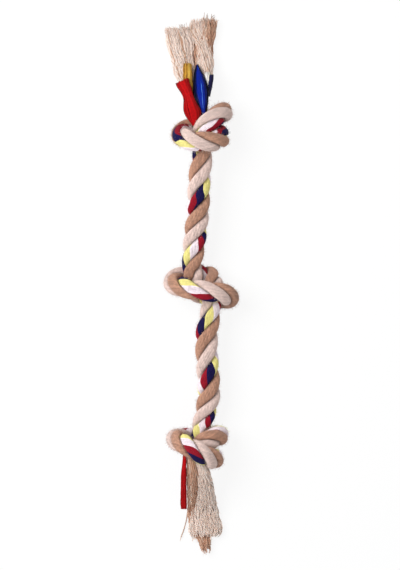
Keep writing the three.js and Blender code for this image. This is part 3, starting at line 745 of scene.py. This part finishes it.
# Outlines in plan in millimetres: how far from the knot, the left and right edges, and how far the bundle's
# top lies under the tassel's
top_bundles = [
    ("top_left", undyed_loose, "natural", 520, 3, 0.22,
     [(-12, -5, 0, 0), (0, -10, -1, 0), (16, -17.5, -3.5, 0), (34, -28, -7.6, 0), (48, -30.8, -10, 0),
      (58, -34, -10.2, 0), (66, -36, -8.4, 0), (77, -37.4, -12.5, 0), (86, -39.5, -16, 0)]),
    ("top_right", undyed_loose, "natural", 380, 5, 0.45,
     [(-12, -1, 3, 0), (0, -1.5, 2.8, 0), (16, -3.6, 2.8, 0), (26, -5, 5.6, 0), (34, -6.2, 7.6, 0),
      (48, -6.8, 8.6, 0), (58, -7.2, 6.4, 0), (66, -9, 5, 0), (77, -15.5, 4, 1), (96, -12.6, 7, 1)]),
    ("top_tan", tan_loose, "tan", 220, 7, 0.2,
     [(-12, 0, 3, 0), (0, 0, 3, 1), (16, -4, 2.6, 4), (26, -6, 5, 5), (34, -11, 7, 5), (48, -14, 9, 4),
      (62, -12, 8.2, 1), (77, -5, 11, 0), (96, -6, 14, 0)])]
splay_start = 0.014
for name, finish, slot_name, count, seed, twist, rows in top_bundles:
    rows = millimetres(rows)
    last, faces = rows[-1][0], bundle_faces(top_root, rows)
    settings = {**loose_habit, "Yarn Count": count, "Seed": seed, "Material": finish}
    loose_ends = {**settings, "Ragged End": 0.08, "Stray End": 0.05}
    if name == "top_left":
        root_piece = lay_out(f"{name}_root_yarns", top_root, rows, tucked_in, splay_start, faces, loose_thick,
                             settings, twist, cut=0.0)
        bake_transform(root_piece)
        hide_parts(f"{name}_neck")
        piece = lay_out(f"{name}_yarns", top_root, rows, splay_start, last, faces, loose_thick, loose_ends,
                        twist)
        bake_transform(piece)
        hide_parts(f"{name}_bundle")
    else:
        piece = lay_out(f"{name}_yarns", top_root, rows, tucked_in, last, faces, loose_thick, loose_ends,
                        twist)
        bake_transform(piece)
        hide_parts(f"{name}_neck", f"{name}_bundle")

bottom_bundles = [
    ("bottom_tan", tan_loose, "tan", 330, 11, 0.1,
     [(-12, -5, 0, 0), (0, -8, 1, 0), (12, -7.4, 4.8, 0), (26, -7.4, 4.4, 0), (38, -7.2, 3.5, 1),
      (52, -6.5, 3, 3), (64, -6, 10, 5), (72, -4, 14, 5), (77, 3, 15, 4), (93, 6.4, 15.4, 2)]),
    ("bottom_natural", undyed_loose, "natural", 500, 13, 0.25,
     [(-12, -1, 6, 0), (0, -1.5, 9, 0), (10, 1.5, 13, 0), (20, 1, 16.6, 0), (38, 0, 19.8, 0),
      (52, -4.5, 22.4, 0), (64, -5.5, 25.4, 0), (71, -6.6, 27.2, 0), (80, -3, 21, 0)])]
for name, finish, slot_name, count, seed, twist, rows in bottom_bundles:
    rows = millimetres(rows)
    settings = {**loose_habit, "Yarn Count": count, "Ragged End": 0.08, "Stray End": 0.04, "Seed": seed,
                "Material": finish}
    piece = lay_out(f"{name}_yarns", bottom_root, rows, tucked_in, rows[-1][0],
                    bundle_faces(bottom_root, rows), loose_thick, settings, twist, cut=0.94)
    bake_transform(piece)
    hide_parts(f"{name}_neck", f"{name}_bundle")


# Stray yarns
# A few tan yarns have come out of the bottom tassel. They lie apart from it on its left, a little over
# the floor, and are held where they leave it.

def stray_faces(away):
    bottom = tassel_faces(bottom_root, away)[0]
    return bottom + 0.001, bottom + 0.003


rows = millimetres([(40, -6.6, -5), (54, -7.6, -6.2), (64, -9.4, -8.2), (72, -12, -11), (81, -15, -14.2)])
piece = lay_out("bottom_stray_yarns", bottom_root, rows, 0.040, 0.081, stray_faces, 0.0008, {
    "Yarn Count": 9, "Yarns In Lock": 3, "Wave Height": 0.0006, "Ragged End": 0.12, "Seed": 15,
    "Material": tan_loose})
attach(piece, "bottom_tassel")


# Coloured tails
# The ends of the dyed strand come out of the knots as flat bunches of bright yarn, cut shorter than the
# tassel that they lie on. The red ones are fleecy, the blue ones are a glossy yarn and the rest is cotton.

# Fleecy cotton: to the eye an even, strong red, with no fur at its edge. The darker line at each side and
# the darker right flank are painted shade, laid across the tail by each yarn's place
red_fleece = spun_cotton("red_fleecy_cotton", [
    (0.0, "#740408"), (0.1, "#b0060b"), (0.35, "#c20b11"), (0.72, "#a00509"), (0.92, "#800306")],
    0.14, groove_shade=0.6, fur=0.0)

# Viscose, pressed flat: smooth and glossy. Across the tail it runs from nearly black sides, which are
# painted shade, to one light streak, which is a painted highlight, and its grooves take deep painted shade
blue_satin = spun_cotton("royal_blue_glossy_viscose", [
    (0.0, "#01031c"), (0.08, "#02073c"), (0.18, "#031064"), (0.3, "#04259a"), (0.54, "#4a80dc"),
    (0.62, "#042390"), (0.76, "#020e5a"), (0.9, "#01031c")],
    0.2, groove_shade=0.45, roughness=0.25, gloss=0.1, fur=0.0)
# The navy is a little darker on its right half than its left: painted shade, laid across the tail by place
navy_satin = spun_cotton("navy_glossy_viscose", [(0.0, "#120f4e"), (0.5, "#0e0a38")],
                         0.15, roughness=0.4, gloss=0.3, fur=0.0)

# Soft cotton: dull, and to the eye streaked along the yarns in the gold and plain in the white. In the gold
# the darker stripes at both sides are painted shade and the lightest stripe, right of the middle, is a
# painted highlight
gold_soft = spun_cotton("gold_soft_cotton", [
    (0.0, "#a8761f"), (0.15, "#d09c36"), (0.4, "#bb882b"), (0.55, "#e2b94f"), (0.75, "#c08d2e"),
    (0.93, "#9a6c1c")], 0.14, fur=0.1)
white_soft = spun_cotton("white_soft_cotton", [(0.0, "#f7f3f0"), (0.7, "#ece6d4")], 0.06)


def riding_height(root, rows):
    def faces(away):
        base, thick = rows_at(rows, away)
        bottom = tassel_faces(root, away)[1] + base
        return bottom, bottom + thick
    return faces


# Outlines in plan in millimetres, as for the bundles, and then how high the tail rides over the tassel and
# how thick it is
neck_end = 0.0142
tails = [
    ("top_red", red_fleece, "red", top_root, 0.0015, 150, 0.3, 21, ("top_left_tuft", "top_red"),
     [(-14, -10.5, -7.5), (-8, -16.6, -3.4), (-1.5, -20.4, -2), (5, -20.4, -6.2), (12.6, -19.9, -10),
      (20, -24.1, -11.6), (25, -28, -13.6), (32, -29.5, -15)],
     [(-14, 3, 5), (-8, 3.5, 8), (-1.5, 3.5, 10.5), (5, 3.5, 9.6), (9.6, 3.8, 6.4), (12.6, 3.8, 2.2),
      (17, 3.8, 4), (32, 3.8, 3.6)]),
    ("top_blue", blue_satin, "blue", top_root, 0.0022, 150, 0.0, 23, ("top_tassel", "top_blue"),
     [(-8, -4, 2), (1.3, -5.3, 2.3), (10.7, -9.6, 4.2), (18.3, -11.4, 4.4), (25.8, -11.4, 2.8),
      (33.4, -10.6, 0), (39, -9.6, -2.9), (45, -7.8, -6.4)],
     [(-8, 1, 5), (10, 0.5, 7.5), (25, 0.4, 7.5), (38, 0.4, 4.5), (45, 0.4, 2)])]
for name, finish, slot_name, root, yarn, count, slant, seed, bodies, rows, levels in tails:
    rows, faces = millimetres(rows), riding_height(root, millimetres(levels))
    settings = {"Yarn Count": count, "Yarns In Lock": 6, "Wave Height": 0.0008, "Seed": seed,
                "Shades In Order": 1.0, "Material": finish}
    root_piece = lay_out(f"{name}_root_yarns", root, rows, rows[0][0], neck_end, faces, yarn, settings,
                         cut=0.0)
    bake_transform(root_piece)
    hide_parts(f"{name}_neck")
    piece = lay_out(f"{name}_yarns", root, rows, neck_end, rows[-1][0], faces, yarn,
                    {**settings, "Ragged End": 0.06, "Slant": slant})
    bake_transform(piece)
    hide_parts(f"{name}_tail")

short_tails = [
    ("top_small_blue", navy_satin, "blue", 60, 0.0009, 25, ("top_tassel", "top_small_blue"),
     [(14, 0.9, 5.4), (21, 1.9, 7.2), (28, 3.1, 8.4), (35.5, 4.4, 9.2)], [(14, 0.2, 3.4), (36, 0.2, 3.4)]),
    ("top_white", white_soft, "white", 40, 0.0009, 27, ("top_tassel",),
     [(16, 2.5, 5), (28, 1.2, 5), (38, -0.6, 6)], [(16, 0.2, 2.6), (38, 0.2, 3.2)]),
    ("top_gold", gold_soft, "gold", 70, 0.0010, 29, ("top_left_tuft",),
     [(15, -15, -9.4), (28, -20.4, -11.4), (47, -20.6, -11.8)], [(15, 0.2, 3.4), (47, 0.2, 3.4)])]
for name, finish, slot_name, count, yarn, seed, bodies, rows, levels in short_tails:
    rows, faces = millimetres(rows), riding_height(top_root, millimetres(levels))
    piece = lay_out(f"{name}_yarns", top_root, rows, rows[0][0], rows[-1][0], faces, yarn, {
        "Yarn Count": count, "Yarns In Lock": 5, "Wave Height": 0.0008, "Ragged End": 0.07,
        "Shades In Order": 1.0, "Seed": seed, "Material": finish})
    if len(bodies) == 2:
        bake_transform(piece)
    else:
        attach(piece, bodies[0])
    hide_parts(f"{name}_tail")

rows = millimetres([(-12, -11, -7), (0, -11.6, -7.4), (6, -12.2, -7.8), (14, -13.2, -7.6), (34, -13.8, -7.4),
                    (49, -13.8, -7.2)])
levels = millimetres([(-12, -12, 3.6), (0, -6, 3.6), (14, -5, 3.6), (49, -3.6, 3.6)])
faces = riding_height(bottom_root, levels)
settings = {"Yarn Count": 90, "Yarns In Lock": 6, "Wave Height": 0.0006, "Seed": 31, "Shades In Order": 1.0,
            "Material": red_fleece}
root_piece = lay_out("bottom_red_root_yarns", bottom_root, rows, tucked_in, neck_end, faces, 0.0010, settings,
                     cut=0.0)
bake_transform(root_piece)
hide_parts("bottom_red_neck")
piece = lay_out("bottom_red_yarns", bottom_root, rows, neck_end, rows[-1][0], faces, 0.0010,
                {**settings, "Ragged End": 0.04})
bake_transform(piece)
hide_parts("bottom_red_tail")
